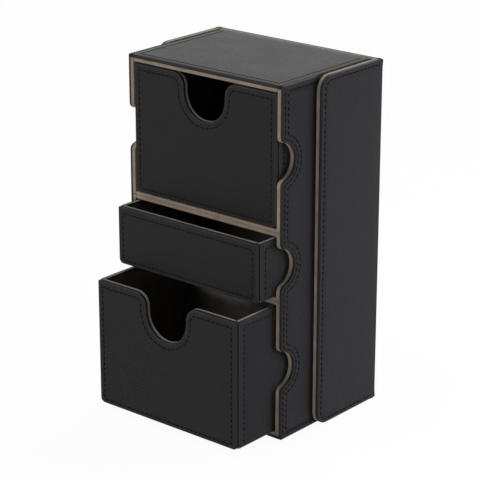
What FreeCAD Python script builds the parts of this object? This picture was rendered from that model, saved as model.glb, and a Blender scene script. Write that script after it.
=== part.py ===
import FreeCAD, Part
import os
import Sketcher

# Trading card drawer box.
#
# A case of leather-covered board holds three open-fronted cells of microfibre-covered board,
# one above the other. A drawer slides in each cell: two deep ones for sleeved cards, with a
# thumb scoop in the front, and a shallow tray between them. A cover of three panels, joined
# by leather folds, is parked on the back and held by magnets.
#
# Millimetres. The origin is the middle of the case's base: X to the right, Y to the back, Z up.

doc = FreeCAD.newDocument("trading_card_drawer_box")

# ---------------------------------------------------------------- driving dimensions

SIZES = {
    # Sheet goods.
    "leather": 0.6,
    "shell_board": 1.2,
    "back_board": 2.2,
    "cell_wall": 2.1,
    "front_board": 2.2,
    "drawer_board": 1.5,
    "drawer_lining": 0.4,
    "cover_lining": 2.0,
    # Drawers, outside.
    "drawer_width": 101.4,
    "drawer_depth": 73.7,
    "card_drawer_height": 74.0,
    "tray_height": 33.5,
    # Clearances of a drawer in its cell, and of the cover on the case.
    "side_gap": 0.4,
    "floor_gap": 0.3,
    "roof_gap": 0.7,
    "rear_gap": 0.5,
    "cover_gap": 0.3,
    # How far the two open drawers stand out of the case.
    "tray_out": 15.0,
    "bottom_drawer_out": 32.5,
    # Finger cut-out in the sides of the case.
    "notch_depth": 11.0,
    "notch_radius": 10.5,
    "notch_shoulder": 3.5,
    # Thumb scoop in the fronts of the card drawers.
    "scoop_depth": 24.5,
    "scoop_radius": 14.5,
    "scoop_shoulder": 8.0,
    # Rounding.
    "front_corner": 3.0,
    "tub_corner": 1.4,
    "cell_corner": 1.0,
    "edge_round": 0.8,
    "flap_corner": 8.0,
    # Cover: reach of a flap along the case's side, and the leather fold at its rear edge.
    "flap_reach": 49.5,
    "fold_radius": 0.8,
    "fold_gap": 0.2,
    "mitre_gap": 0.15,
    # Magnets, and how far they are from the top and the bottom.
    "magnet_diameter": 10.0,
    "magnet_inset": 40.0,
}

sheet = doc.addObject("Spreadsheet::Sheet", "sizes")
for row, (alias, value) in enumerate(SIZES.items(), start=1):
    sheet.set(f"A{row}", str(value))
    sheet.setAlias(f"A{row}", alias)
doc.recompute()

# ---------------------------------------------------------------- sizes that follow from them

SHELL = "(sizes.leather + sizes.shell_board)"
BACK = "(sizes.leather + sizes.back_board)"
DRAWER_GAPS = "(sizes.floor_gap + sizes.roof_gap)"
CARD_CELL = f"(sizes.card_drawer_height + {DRAWER_GAPS} + 2 * sizes.cell_wall)"
TRAY_CELL = f"(sizes.tray_height + {DRAWER_GAPS} + 2 * sizes.cell_wall)"

CELL_OPENING = "(sizes.drawer_width + 2 * sizes.side_gap)"
CELL_WIDTH = f"({CELL_OPENING} + 2 * sizes.cell_wall)"
CELL_DEPTH = "(sizes.drawer_depth + sizes.rear_gap)"

CASE_WIDTH = f"({CELL_WIDTH} + 2 * {SHELL})"
CASE_DEPTH = f"({CELL_DEPTH} + {BACK})"
CASE_HEIGHT = f"(2 * {SHELL} + 2 * {CARD_CELL} + {TRAY_CELL})"

LEFT = f"(-{CASE_WIDTH} / 2)"
RIGHT = f"({CASE_WIDTH} / 2)"
FRONT = f"(-{CASE_DEPTH} / 2)"
REAR = f"({CASE_DEPTH} / 2)"

COVER_SHEET = f"{SHELL}"
COVER_THICKNESS = f"({COVER_SHEET} + sizes.cover_lining)"
FOLD_X = f"({RIGHT} + sizes.cover_gap + {COVER_THICKNESS} - sizes.fold_radius)"
FOLD_Y = f"({REAR} + sizes.cover_gap + {COVER_THICKNESS} - sizes.fold_radius)"
FOLD_REACH = "(sizes.fold_radius + sizes.fold_gap)"
FLAP_FRONT = f"({REAR} - sizes.flap_reach)"
FLAP_LENGTH = f"({FOLD_Y} - {FOLD_REACH} - {FLAP_FRONT})"

MAGNET_HEIGHTS = ("sizes.magnet_inset", f"({CASE_HEIGHT} - sizes.magnet_inset)")

CELLS = {
    "bottom": {"base": SHELL, "height": CARD_CELL},
    "middle": {"base": f"({SHELL} + {CARD_CELL})", "height": TRAY_CELL},
    "top": {"base": f"({SHELL} + {CARD_CELL} + {TRAY_CELL})", "height": CARD_CELL},
}
DRAWERS = {
    "bottom": {"height": "sizes.card_drawer_height", "out": "sizes.bottom_drawer_out", "scoop": True},
    "middle": {"height": "sizes.tray_height", "out": "sizes.tray_out", "scoop": False},
    "top": {"height": "sizes.card_drawer_height", "out": "0", "scoop": True},
}


def notch_height(cell):
    """Middle of a cell's finger cut-outs above the case's base: halfway up the cell."""
    return f"({CELLS[cell]['base']} + {CELLS[cell]['height']} / 2)"


# ---------------------------------------------------------------- sketching and padding

ORIGIN_PLANES = {"X": "YZ_Plane", "Y": "XZ_Plane", "Z": "XY_Plane"}
TOUCH = 1e-4
subparts = []


def keep(part, label):
    """Name a finished sub-part and put it on the list of pieces to write."""
    part.Label = label
    subparts.append(part)
    return part


def place(part, along_x, along_y, along_z):
    """Set a part down in the case's frame, by expressions."""
    part.setExpression("Placement.Base.x", along_x)
    part.setExpression("Placement.Base.y", along_y)
    part.setExpression("Placement.Base.z", along_z)
    return part


def sketch_on(body, normal, name):
    """An empty sketch on the body's own origin plane that faces along `normal`."""
    sketch = body.newObject("Sketcher::SketchObject", f"{body.Name}_{name}")
    role = ORIGIN_PLANES[normal]
    plane = next(item for item in body.Origin.OriginFeatures if item.Role == role)
    sketch.AttachmentSupport = [(plane, "")]
    sketch.MapMode = "FlatFace"
    return sketch


def hold(sketch, geometry, point, **coordinates):
    """Tie a sketch point to the sketch's origin, by an expression for each coordinate."""
    for kind, expression in coordinates.items():
        name = f"{kind}_{geometry}_{point}"
        index = sketch.addConstraint(Sketcher.Constraint(kind, -1, 1, geometry, point, 1.0))
        sketch.renameConstraint(index, name)
        sketch.setExpression(f"Constraints.{name}", expression)


def draw_polygon(sketch, corners):
    """A closed outline whose corners are pairs of expressions."""
    count = len(corners)
    rough = [FreeCAD.Vector(*(float(doc.sizes.evalExpression(value)) for value in corner), 0)
             for corner in corners]
    for index in range(count):
        sketch.addGeometry(Part.LineSegment(rough[index], rough[(index + 1) % count]))
    for index in range(count):
        sketch.addConstraint(Sketcher.Constraint("Coincident", index, 2, (index + 1) % count, 1))
    for index, (across, up) in enumerate(corners):
        hold(sketch, index, 1, DistanceX=across, DistanceY=up)


def draw_rectangle(sketch, low_across, low_up, high_across, high_up):
    draw_polygon(sketch, [(low_across, low_up), (high_across, low_up),
                          (high_across, high_up), (low_across, high_up)])


def draw_circle(sketch, across, up, radius):
    sketch.addGeometry(Part.Circle(FreeCAD.Vector(0, 0, 0), FreeCAD.Vector(0, 0, 1), 1.0))
    hold(sketch, 0, 3, DistanceX=across, DistanceY=up)
    index = sketch.addConstraint(Sketcher.Constraint("Radius", 0, 1.0))
    sketch.renameConstraint(index, "radius")
    sketch.setExpression("Constraints.radius", radius)


def pad(body, sketch, length, reverse=False):
    feature = body.newObject("PartDesign::Pad", f"{body.Name}_pad")
    feature.Profile = sketch
    feature.setExpression("Length", length)
    feature.Reversed = reverse
    doc.recompute()
    return body


def plate(name, normal, across, up, thickness):
    """A flat sheet in its own corner frame, with its thickness along `normal`."""
    body = doc.addObject("PartDesign::Body", name)
    outline = sketch_on(body, normal, "outline")
    draw_rectangle(outline, "0", "0", across, up)
    return pad(body, outline, thickness, reverse=normal == "Y")


def cut_through(body, sketch):
    """Cut a sketch right through the body, both ways from its plane."""
    pocket = body.newObject("PartDesign::Pocket", f"{sketch.Name}_cut")
    pocket.Profile = sketch
    pocket.Type = "ThroughAll"
    pocket.Midplane = True
    doc.recompute()


def cut_hole(body, normal, across, up, radius, name):
    sketch = sketch_on(body, normal, name)
    draw_circle(sketch, across, up, radius)
    cut_through(body, sketch)


def round_edges(body, radius, wanted, name):
    """Fillet the edges whose bounding boxes `wanted` accepts."""
    tip = body.Tip
    edges = [f"Edge{number}" for number, edge in enumerate(tip.Shape.Edges, start=1)
             if wanted(edge.BoundBox)]
    fillet = body.newObject("PartDesign::Fillet", f"{body.Name}_{name}")
    fillet.Base = (tip, edges)
    fillet.setExpression("Radius", radius)
    doc.recompute()


def lies_at(box, axis, value):
    """True if an edge's box is flat across `axis` at that value."""
    low = getattr(box, f"{axis}Min")
    high = getattr(box, f"{axis}Max")
    return abs(low - value) < TOUCH and abs(high - value) < TOUCH


def flat_across(box, axis):
    return getattr(box, f"{axis}Length") < TOUCH


def round_rim(body, axis, side):
    """Soften every edge of the face that looks out along `axis`, as leather turns round a board."""
    rim = getattr(body.Tip.Shape.BoundBox, f"{axis}{side}")
    round_edges(body, "sizes.edge_round", lambda box: lies_at(box, axis, rim), "rim")


def cut(name, base, tool, label):
    """What is left of `base` where `tool` isn't."""
    result = doc.addObject("Part::Cut", name)
    result.Base = base
    result.Tool = tool
    doc.recompute()
    return keep(result, label)


def join(name, parts):
    result = doc.addObject("Part::MultiFuse", name)
    result.Shapes = parts
    doc.recompute()
    return result


# ---------------------------------------------------------------- case and cells


def side_sheet(name, depth, height, thickness, setback, notches):
    """An upright side sheet with finger cut-outs in its front edge.

    `setback` is how far its edges lie inside the finished outline, so that leather of that
    thickness can turn round them. `notches` are heights above the sheet's lower edge.
    """
    body = plate(name, "X", depth, height, thickness)
    for number, middle in enumerate(notches, start=1):
        cut_hole(body, "X", f"sizes.notch_depth - sizes.notch_radius - {setback}", middle,
                 f"sizes.notch_radius + {setback}", f"notch_{number}")
    ends = body.Tip.Shape.BoundBox

    def shoulder(box):
        at_end = lies_at(box, "Z", ends.ZMin) or lies_at(box, "Z", ends.ZMax)
        return lies_at(box, "Y", 0) and flat_across(box, "Z") and not at_end

    round_edges(body, f"sizes.notch_shoulder - {setback}", shoulder, "shoulders")
    return body


def magnet_discs(name, start):
    """The two disc magnets of one side, each with its axis across the case."""
    discs = []
    for height in MAGNET_HEIGHTS:
        disc = doc.addObject("Part::Cylinder", f"{name}_disc")
        disc.setExpression("Radius", "sizes.magnet_diameter / 2")
        disc.setExpression("Height", "sizes.shell_board")
        disc.Placement.Rotation = FreeCAD.Rotation(FreeCAD.Vector(0, 1, 0), 90)
        discs.append(place(disc, start, "0", height))
    return discs


def group(label, discs):
    """Several separate solids as one piece."""
    compound = doc.addObject("Part::Compound", f"{label}_group")
    compound.Links = discs
    doc.recompute()
    keep(compound, label)


def case_side(side):
    """Board and leather of the left or right side, with its magnets seated in the board."""
    notches = [notch_height(cell) for cell in CELLS]
    board_notches = [f"({height} - sizes.leather)" for height in notches]
    blank = side_sheet(f"case_{side}_blank", CASE_DEPTH, CASE_HEIGHT, SHELL, "0", notches)
    round_rim(blank, "X", "Min" if side == "left" else "Max")
    board = side_sheet(f"case_{side}_sheet", f"{CASE_DEPTH} - 2 * sizes.leather",
                       f"{CASE_HEIGHT} - 2 * sizes.leather", "sizes.shell_board", "sizes.leather",
                       board_notches)
    for number, height in enumerate(MAGNET_HEIGHTS, start=1):
        cut_hole(board, "X", f"{CASE_DEPTH} / 2 - sizes.leather", f"{height} - sizes.leather",
                 "sizes.magnet_diameter / 2", f"magnet_seat_{number}")
    blank_x = LEFT if side == "left" else f"{RIGHT} - {SHELL}"
    board_x = f"{LEFT} + sizes.leather" if side == "left" else f"{RIGHT} - {SHELL}"
    place(blank, blank_x, FRONT, "0")
    place(board, board_x, f"{FRONT} + sizes.leather", "sizes.leather")
    keep(board, f"case_{side}_board")
    discs = magnet_discs(f"case_{side}", board_x)
    filled = join(f"case_{side}_filled", [board] + discs)
    cut(f"case_{side}_skin", blank, filled, f"case_{side}_leather")
    return discs


def case_wrap():
    """Top, back and bottom boards; one sheet of leather runs over the top and down the back."""
    inner_width = CELL_WIDTH
    across = f"{LEFT} + {SHELL}"
    board_depth = f"{CASE_DEPTH} - 2 * sizes.leather"
    board_front = f"{FRONT} + sizes.leather"

    top_board = plate("case_top_sheet", "Z", inner_width, board_depth, "sizes.shell_board")
    place(top_board, across, board_front, f"{CASE_HEIGHT} - {SHELL}")
    bottom_board = plate("case_bottom_sheet", "Z", inner_width, board_depth, "sizes.shell_board")
    place(bottom_board, across, board_front, "sizes.leather")
    back_board = plate("case_back_sheet", "Y", inner_width, f"{CASE_HEIGHT} - 2 * {SHELL}",
                       "sizes.back_board")
    place(back_board, across, f"{REAR} - {BACK}", SHELL)

    top_blank = plate("case_top_blank", "Z", inner_width, CASE_DEPTH, SHELL)
    top = top_blank.Tip.Shape.BoundBox.ZMax
    round_edges(top_blank, "sizes.edge_round",
                lambda box: lies_at(box, "Y", 0) and lies_at(box, "Z", top), "front_edge")
    place(top_blank, across, FRONT, f"{CASE_HEIGHT} - {SHELL}")
    back_blank = plate("case_back_blank", "Y", inner_width, CASE_HEIGHT, "sizes.leather")
    place(back_blank, across, f"{REAR} - sizes.leather", "0")

    bottom_blank = plate("case_bottom_blank", "Z", inner_width, f"{CASE_DEPTH} - sizes.leather", SHELL)
    round_edges(bottom_blank, "sizes.edge_round",
                lambda box: lies_at(box, "Y", 0) and lies_at(box, "Z", 0), "front_edge")
    place(bottom_blank, across, FRONT, "0")

    keep(top_board, "case_top_board")
    keep(bottom_board, "case_bottom_board")
    keep(back_board, "case_back_board")
    wrap = join("case_wrap_blank", [top_blank, back_blank])
    cut("case_wrap_skin", wrap, top_board, "case_wrap_leather")
    cut("case_bottom_skin", bottom_blank, bottom_board, "case_bottom_leather")


def cell(name):
    """The four microfibre-covered boards of one cell."""
    base = CELLS[name]["base"]
    height = CELLS[name]["height"]
    for side, along_x in (("left", f"{LEFT} + {SHELL}"), ("right", f"{RIGHT} - {SHELL} - sizes.cell_wall")):
        wall = side_sheet(f"{name}_cell_{side}", CELL_DEPTH, height, "sizes.cell_wall", "0",
                          [f"({height} / 2)"])
        ends = wall.Tip.Shape.BoundBox

        def corner(box):
            at_end = lies_at(box, "Z", ends.ZMin) or lies_at(box, "Z", ends.ZMax)
            return lies_at(box, "Y", 0) and at_end

        round_edges(wall, "sizes.cell_corner", corner, "corners")
        keep(place(wall, along_x, FRONT, base), f"{name}_cell_{side}_wall")
    levels = (("floor", base), ("roof", f"{base} + {height} - sizes.cell_wall"))
    for label, level in levels:
        board = plate(f"{name}_cell_{label}_sheet", "Z", CELL_OPENING, CELL_DEPTH, "sizes.cell_wall")
        place(board, f"{LEFT} + {SHELL} + sizes.cell_wall", FRONT, level)
        keep(board, f"{name}_cell_{label}")


# ---------------------------------------------------------------- drawers


def cut_scoop(body, width, height, setback, depth_of_cut=None):
    """Cut the U of the thumb scoop down from the middle of the top edge and round its shoulders."""
    radius = f"(sizes.scoop_radius + {setback})"
    middle = f"({width} / 2)"
    centre_up = f"({height} - sizes.scoop_depth + {radius})"
    top = f"({height} + sizes.scoop_shoulder)"
    throat = sketch_on(body, "Y", "throat")
    draw_rectangle(throat, f"{middle} - {radius}", centre_up, f"{middle} + {radius}", top)
    bowl = sketch_on(body, "Y", "bowl")
    draw_circle(bowl, middle, centre_up, radius)
    for sketch in (throat, bowl):
        if depth_of_cut is None:
            cut_through(body, sketch)
        else:
            pocket = body.newObject("PartDesign::Pocket", f"{sketch.Name}_cut")
            pocket.Profile = sketch
            pocket.setExpression("Length", depth_of_cut)
            doc.recompute()
    solid = body.Tip.Shape.BoundBox

    def shoulder(box):
        at_side = lies_at(box, "X", solid.XMin) or lies_at(box, "X", solid.XMax)
        near_front = box.YMin < TOUCH
        crosses = flat_across(box, "X") and not at_side and near_front
        return crosses and lies_at(box, "Z", solid.ZMax)

    round_edges(body, f"sizes.scoop_shoulder - {setback}", shoulder, "scoop_shoulders")


def front_sheet(name, height, thickness, setback, scoop):
    """The front of a drawer, in its own corner frame, `setback` inside the finished outline."""
    width = f"(sizes.drawer_width - 2 * {setback})"
    tall = f"({height} - 2 * {setback})"
    body = plate(name, "Y", width, tall, thickness)
    solid = body.Tip.Shape.BoundBox

    def lower_corner(box):
        at_side = lies_at(box, "X", solid.XMin) or lies_at(box, "X", solid.XMax)
        return at_side and lies_at(box, "Z", 0)

    round_edges(body, f"sizes.front_corner - {setback}", lower_corner, "lower_corners")
    if scoop:
        cut_scoop(body, width, tall, setback)
    return body


def drawer(name):
    """Front, four boards, lining and leather of one drawer."""
    height = DRAWERS[name]["height"]
    base_x = "(-sizes.drawer_width / 2)"
    base_y = f"({FRONT} - {DRAWERS[name]['out']})"
    base_z = f"({CELLS[name]['base']} + sizes.cell_wall + sizes.floor_gap)"

    # The front: a board with leather turned round all its edges.
    front_depth = "(sizes.leather + sizes.front_board)"
    blank = front_sheet(f"{name}_front_blank", height, front_depth, "0", DRAWERS[name]["scoop"])
    round_rim(blank, "Y", "Min")
    place(blank, base_x, base_y, base_z)
    board = front_sheet(f"{name}_front_sheet", height, "sizes.front_board", "sizes.leather",
                        DRAWERS[name]["scoop"])
    place(board, f"{base_x} + sizes.leather", f"{base_y} + sizes.leather", f"{base_z} + sizes.leather")
    keep(board, f"{name}_drawer_front_board")
    cut(f"{name}_front_skin", blank, board, f"{name}_drawer_front_leather")

    # The body behind it: floor, two sides and a back. Their upper edges stop short of the rim
    # by the leather that turns over them.
    body_y = f"({base_y} + {front_depth})"
    body_depth = f"(sizes.drawer_depth - {front_depth})"
    wall_up = f"({height} - 2 * sizes.leather - sizes.drawer_board)"
    wall_z = f"({base_z} + sizes.leather + sizes.drawer_board)"
    inner_x = "(sizes.leather + sizes.drawer_board)"
    inner_width = f"(sizes.drawer_width - 2 * {inner_x})"

    floor = plate(f"{name}_drawer_floor", "Z", "sizes.drawer_width - 2 * sizes.leather",
                  f"{body_depth} - sizes.leather", "sizes.drawer_board")
    place(floor, f"{base_x} + sizes.leather", body_y, f"{base_z} + sizes.leather")
    left = plate(f"{name}_drawer_left", "X", f"{body_depth} - sizes.leather", wall_up, "sizes.drawer_board")
    place(left, f"{base_x} + sizes.leather", body_y, wall_z)
    right = plate(f"{name}_drawer_right", "X", f"{body_depth} - sizes.leather", wall_up, "sizes.drawer_board")
    place(right, f"-{base_x} - {inner_x}", body_y, wall_z)
    back = plate(f"{name}_drawer_back", "Y", inner_width, wall_up, "sizes.drawer_board")
    place(back, f"{base_x} + {inner_x}", f"{body_y} + {body_depth} - {inner_x}", wall_z)
    keep(floor, f"{name}_drawer_floor_board")
    keep(left, f"{name}_drawer_left_board")
    keep(right, f"{name}_drawer_right_board")
    keep(back, f"{name}_drawer_back_board")

    # The lining: a thin tub inside the boards, with its front wall cut to the scoop.
    lining_depth = f"({body_depth} - {inner_x})"
    lining_up = f"({height} - {inner_x})"
    hollow = plate(f"{name}_lining_blank", "Z", inner_width, lining_depth, lining_up)
    place(hollow, f"{base_x} + {inner_x}", body_y, wall_z)
    lining = plate(f"{name}_lining", "Z", inner_width, lining_depth, lining_up)
    dig_pocket(lining, inner_width, lining_depth, lining_up)
    if DRAWERS[name]["scoop"]:
        cut_scoop(lining, inner_width, lining_up, "0", "2 * sizes.drawer_lining")
    place(lining, f"{base_x} + {inner_x}", body_y, wall_z)
    keep(lining, f"{name}_drawer_lining")

    # The leather round the body is what is left of a solid block, once the boards and the
    # lined hollow are taken out.
    block = plate(f"{name}_wrap_blank", "Z", "sizes.drawer_width", body_depth, height)
    solid = block.Tip.Shape.BoundBox

    def lower_edge(box):
        at_side = lies_at(box, "X", solid.XMin) or lies_at(box, "X", solid.XMax)
        return at_side and lies_at(box, "Z", 0)

    def rear_edge(box):
        at_side = lies_at(box, "X", solid.XMin) or lies_at(box, "X", solid.XMax)
        return at_side and lies_at(box, "Y", solid.YMax)

    round_edges(block, "sizes.tub_corner", lambda box: lower_edge(box) or rear_edge(box), "corners")
    place(block, base_x, body_y, base_z)
    inside = join(f"{name}_inside", [floor, left, right, back, hollow])
    cut(f"{name}_wrap_skin", block, inside, f"{name}_drawer_wrap_leather")


def dig_pocket(body, width, depth, height):
    """Hollow a lining out from above, leaving its floor and four walls one lining thick."""
    sketch = sketch_on(body, "Z", "hollow")
    draw_rectangle(sketch, "sizes.drawer_lining", "sizes.drawer_lining",
                   f"{width} - sizes.drawer_lining", f"{depth} - sizes.drawer_lining")
    sketch.setExpression(".AttachmentOffset.Base.z", height)
    pocket = body.newObject("PartDesign::Pocket", f"{body.Name}_hollow_cut")
    pocket.Profile = sketch
    pocket.setExpression("Length", f"{height} - sizes.drawer_lining")
    doc.recompute()


# ---------------------------------------------------------------- cover


def flap(side):
    """Leather, board and lining of one flap; its rear edge is mitred where it meets the back."""
    on_left = side == "left"
    outer = f"(-{FOLD_X} - sizes.fold_radius)" if on_left else f"({FOLD_X} + sizes.fold_radius)"

    def front_corner(box):
        at_end = flat_across(box, "Z")
        return lies_at(box, "Y", 0) and at_end

    blank = plate(f"{side}_flap_blank", "X", FLAP_LENGTH, CASE_HEIGHT, COVER_SHEET)
    round_edges(blank, "sizes.flap_corner", front_corner, "corners")
    round_rim(blank, "X", "Min" if on_left else "Max")
    place(blank, outer if on_left else f"{outer} - {COVER_SHEET}", FLAP_FRONT, "0")

    board = plate(f"{side}_flap_sheet", "X", f"{FLAP_LENGTH} - sizes.leather",
                  f"{CASE_HEIGHT} - 2 * sizes.leather", "sizes.shell_board")
    round_edges(board, "sizes.flap_corner - sizes.leather", front_corner, "corners")
    for number, height in enumerate(MAGNET_HEIGHTS, start=1):
        cut_hole(board, "X", f"sizes.flap_reach - {CASE_DEPTH} / 2 - sizes.leather",
                 f"{height} - sizes.leather", "sizes.magnet_diameter / 2", f"magnet_seat_{number}")
    board_x = f"{outer} + sizes.leather" if on_left else f"{outer} - {COVER_SHEET}"
    place(board, board_x, f"{FLAP_FRONT} + sizes.leather", "sizes.leather")
    keep(board, f"{side}_flap_board")
    discs = magnet_discs(f"{side}_flap", board_x)
    filled = join(f"{side}_flap_filled", [board] + discs)
    cut(f"{side}_flap_skin", blank, filled, f"{side}_flap_leather")
    group(f"{side}_flap_magnets", discs)

    long_edge = f"({FLAP_LENGTH} - sizes.mitre_gap)"
    short_edge = f"({long_edge} - sizes.cover_lining)"
    lining = doc.addObject("PartDesign::Body", f"{side}_flap_lining_sheet")
    plan = sketch_on(lining, "Z", "plan")
    at_outer, at_inner = (long_edge, short_edge) if on_left else (short_edge, long_edge)
    draw_polygon(plan, [("0", "0"), ("sizes.cover_lining", "0"),
                        ("sizes.cover_lining", at_inner), ("0", at_outer)])
    pad(lining, plan, CASE_HEIGHT)
    round_edges(lining, "sizes.flap_corner", front_corner, "corners")
    inner = f"{outer} + {COVER_SHEET}" if on_left else f"{outer} - {COVER_THICKNESS}"
    place(lining, inner, FLAP_FRONT, "0")
    keep(lining, f"{side}_flap_lining")


def cover_back():
    """Leather, board and lining of the panel behind the case, and the two leather folds."""
    half_width = f"({FOLD_X} - {FOLD_REACH})"
    outer_y = f"({FOLD_Y} + sizes.fold_radius)"
    blank = plate("cover_back_blank", "Y", f"2 * {half_width}", CASE_HEIGHT, COVER_SHEET)
    solid = blank.Tip.Shape.BoundBox

    def outer_edge(box):
        at_end = lies_at(box, "Z", solid.ZMin) or lies_at(box, "Z", solid.ZMax)
        return lies_at(box, "Y", solid.YMax) and at_end

    round_edges(blank, "sizes.edge_round", outer_edge, "rim")
    place(blank, f"-{half_width}", f"{outer_y} - {COVER_SHEET}", "0")
    board = plate("cover_back_sheet", "Y", f"2 * {half_width}", f"{CASE_HEIGHT} - 2 * sizes.leather",
                  "sizes.shell_board")
    place(board, f"-{half_width}", f"{outer_y} - {COVER_SHEET}", "sizes.leather")
    keep(board, "cover_back_board")
    cut("cover_back_skin", blank, board, "cover_back_leather")

    wide = f"({half_width} - sizes.mitre_gap)"
    narrow = f"({wide} - sizes.cover_lining)"
    lining = doc.addObject("PartDesign::Body", "cover_back_lining_sheet")
    plan = sketch_on(lining, "Z", "plan")
    draw_polygon(plan, [(f"-{narrow}", "0"), (narrow, "0"),
                        (wide, "sizes.cover_lining"), (f"-{wide}", "sizes.cover_lining")])
    pad(lining, plan, CASE_HEIGHT)
    place(lining, "0", f"{REAR} + sizes.cover_gap", "0")
    keep(lining, "cover_back_lining")

    for side, along_x in (("left", f"-{FOLD_X}"), ("right", FOLD_X)):
        fold = doc.addObject("Part::Cylinder", f"{side}_fold")
        fold.setExpression("Radius", "sizes.fold_radius")
        fold.setExpression("Height", CASE_HEIGHT)
        keep(place(fold, along_x, FOLD_Y, "0"), f"cover_{side}_fold")


# ---------------------------------------------------------------- build, check and write

group("case_magnets", case_side("left") + case_side("right"))
case_wrap()
for cell_name in CELLS:
    cell(cell_name)
for drawer_name in DRAWERS:
    drawer(drawer_name)
cover_back()
for side_name in ("left", "right"):
    flap(side_name)

doc.recompute()
failed = [item.Label for item in doc.Objects
          if "Invalid" in item.State or "Error" in item.State]
failed += [part.Label for part in subparts if part.Shape.isNull() or not part.Shape.isValid()]
if failed:
    raise SystemExit(f"these did not build: {', '.join(failed)}")

os.makedirs("parts", exist_ok=True)
for part in subparts:
    part.Shape.exportStep(f"parts/{part.Label}.step")
    solids = len(part.Shape.Solids)
    print(f"{part.Label}: {solids} solid(s), {part.Shape.Volume / 1000:.2f} cm3")
print(f"{len(subparts)} pieces")
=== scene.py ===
# %% [markdown]
# # Trading card drawer box
#
# This notebook dresses a box for trading cards. The box is made of board, covered outside in black
# polyurethane leather and inside in taupe microfibre. The solids come from the CAD model and stay
# where they are. What is added here is what CAD leaves out: rolled edges, sewn grooves, thread, and
# the surfaces themselves.

# %% Load the fixed frame
import math

import bmesh
import bpy
import numpy as np
from mathutils import Matrix, Vector
from mathutils.geometry import delaunay_2d_cdt


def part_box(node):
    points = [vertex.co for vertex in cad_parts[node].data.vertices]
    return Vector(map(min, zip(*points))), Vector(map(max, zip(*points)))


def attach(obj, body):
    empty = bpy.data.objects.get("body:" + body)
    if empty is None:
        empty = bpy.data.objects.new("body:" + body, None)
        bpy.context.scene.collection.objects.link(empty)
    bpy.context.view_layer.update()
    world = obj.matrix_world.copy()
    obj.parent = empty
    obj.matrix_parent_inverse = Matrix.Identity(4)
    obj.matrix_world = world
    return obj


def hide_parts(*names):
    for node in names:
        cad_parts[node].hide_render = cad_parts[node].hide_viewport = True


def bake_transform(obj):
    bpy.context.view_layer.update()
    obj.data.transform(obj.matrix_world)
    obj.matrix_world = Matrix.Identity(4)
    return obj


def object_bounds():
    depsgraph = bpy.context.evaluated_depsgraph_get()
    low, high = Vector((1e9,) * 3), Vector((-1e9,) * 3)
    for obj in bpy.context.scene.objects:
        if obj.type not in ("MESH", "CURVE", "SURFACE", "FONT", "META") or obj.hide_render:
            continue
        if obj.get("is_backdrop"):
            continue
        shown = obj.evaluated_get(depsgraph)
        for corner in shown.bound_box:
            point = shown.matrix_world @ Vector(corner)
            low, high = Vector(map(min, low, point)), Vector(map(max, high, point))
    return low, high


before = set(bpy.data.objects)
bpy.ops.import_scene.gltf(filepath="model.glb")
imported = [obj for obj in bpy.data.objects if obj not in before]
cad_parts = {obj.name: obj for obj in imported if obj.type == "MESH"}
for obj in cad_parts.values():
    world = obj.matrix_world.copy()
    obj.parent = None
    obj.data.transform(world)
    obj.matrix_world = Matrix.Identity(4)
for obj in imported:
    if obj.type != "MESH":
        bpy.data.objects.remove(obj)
cad_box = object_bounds()

# %% [markdown]
# ## Units and colours
#
# Blender works in metres, but leather and board are thought of in millimetres, so every size below is
# in millimetres and is turned to metres once. Colours are written as the hex values that a picture
# editor shows. Blender's shaders want linear light instead, so one function does that change.

# %% Millimetres and colours
MM = 0.001


def colour(hex_value):
    """A written sRGB colour, such as '#232324', as the linear RGBA that shaders use."""
    levels = [int(hex_value[i:i + 2], 16) / 255 for i in (1, 3, 5)]
    linear = [c / 12.92 if c <= 0.04045 else ((c + 0.055) / 1.055) ** 2.4 for c in levels]
    return (*linear, 1.0)


def patches(size_mm):
    """The scale at which the patches of a noise texture are this wide."""
    return 1 / (size_mm * MM)


def box_mm(node):
    """Lowest and highest corner of a CAD node, in millimetres."""
    low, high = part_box(node)
    return np.array(low) / MM, np.array(high) / MM


case_low, _ = box_mm("case_left_leather")
_, case_high = box_mm("case_right_leather")
print("case", np.round(case_high - case_low, 1), "mm")

# %% [markdown]
# ## Building materials from nodes
#
# A material in Blender is a small graph. Making each node takes three steps: create it, set it, and
# connect it. The helper below does all three in one line, so that the graphs further on stay readable.

# %% A helper that adds one node
def add(tree, kind, inputs=(), **settings):
    """Add a node. `inputs` is a dictionary, or a list in the order of the sockets. A node or a socket
    in it is linked, and any other value is set."""
    made = tree.nodes.new("ShaderNode" + kind)
    for name, value in settings.items():
        setattr(made, name, value)
    for key, value in inputs.items() if isinstance(inputs, dict) else enumerate(inputs):
        if isinstance(value, bpy.types.Node):
            value = value.outputs[0]
        if isinstance(value, bpy.types.NodeSocket):
            tree.links.new(value, made.inputs[key])
        else:
            made.inputs[key].default_value = value
    return made


def new_material(name):
    """An empty material and its node tree."""
    material = bpy.data.materials.new(name)
    material.use_nodes = True
    material.node_tree.nodes.clear()
    return material, material.node_tree


print("node helpers ready")

# %% [markdown]
# ## Polyurethane leather with a woven grain
#
# The covering is polyurethane film on cloth. A hot roller has embossed it with a plain weave: yarns
# 0.725 mm apart go over and under each other, so the raised beads stand like the squares of a
# chessboard and show slanting rows 1 mm apart.
#
# An image could carry this pattern, but a procedural one never runs out of pixels. It needs flat
# coordinates in millimetres on every panel, so the panels carry an attribute called leather_mm. Its
# first two numbers are the place on the flat sheet. The third is how far that place is from the
# sheet's edge, and it lets the grain fade out at the border, where the leather is stretched over the
# board's edge and pressed smooth by the sewing foot.

# %% Leather material
YARN = 0.725        # mm from one yarn of the embossed weave to the next
LEAN = 0.75         # how much stronger the falling rows are than the rising ones
PRESSED_FLAT = 1.0  # mm of border that shows no grain
GRAIN_FULL = 2.2    # mm from the edge, where the grain has come up to its full height


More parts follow.
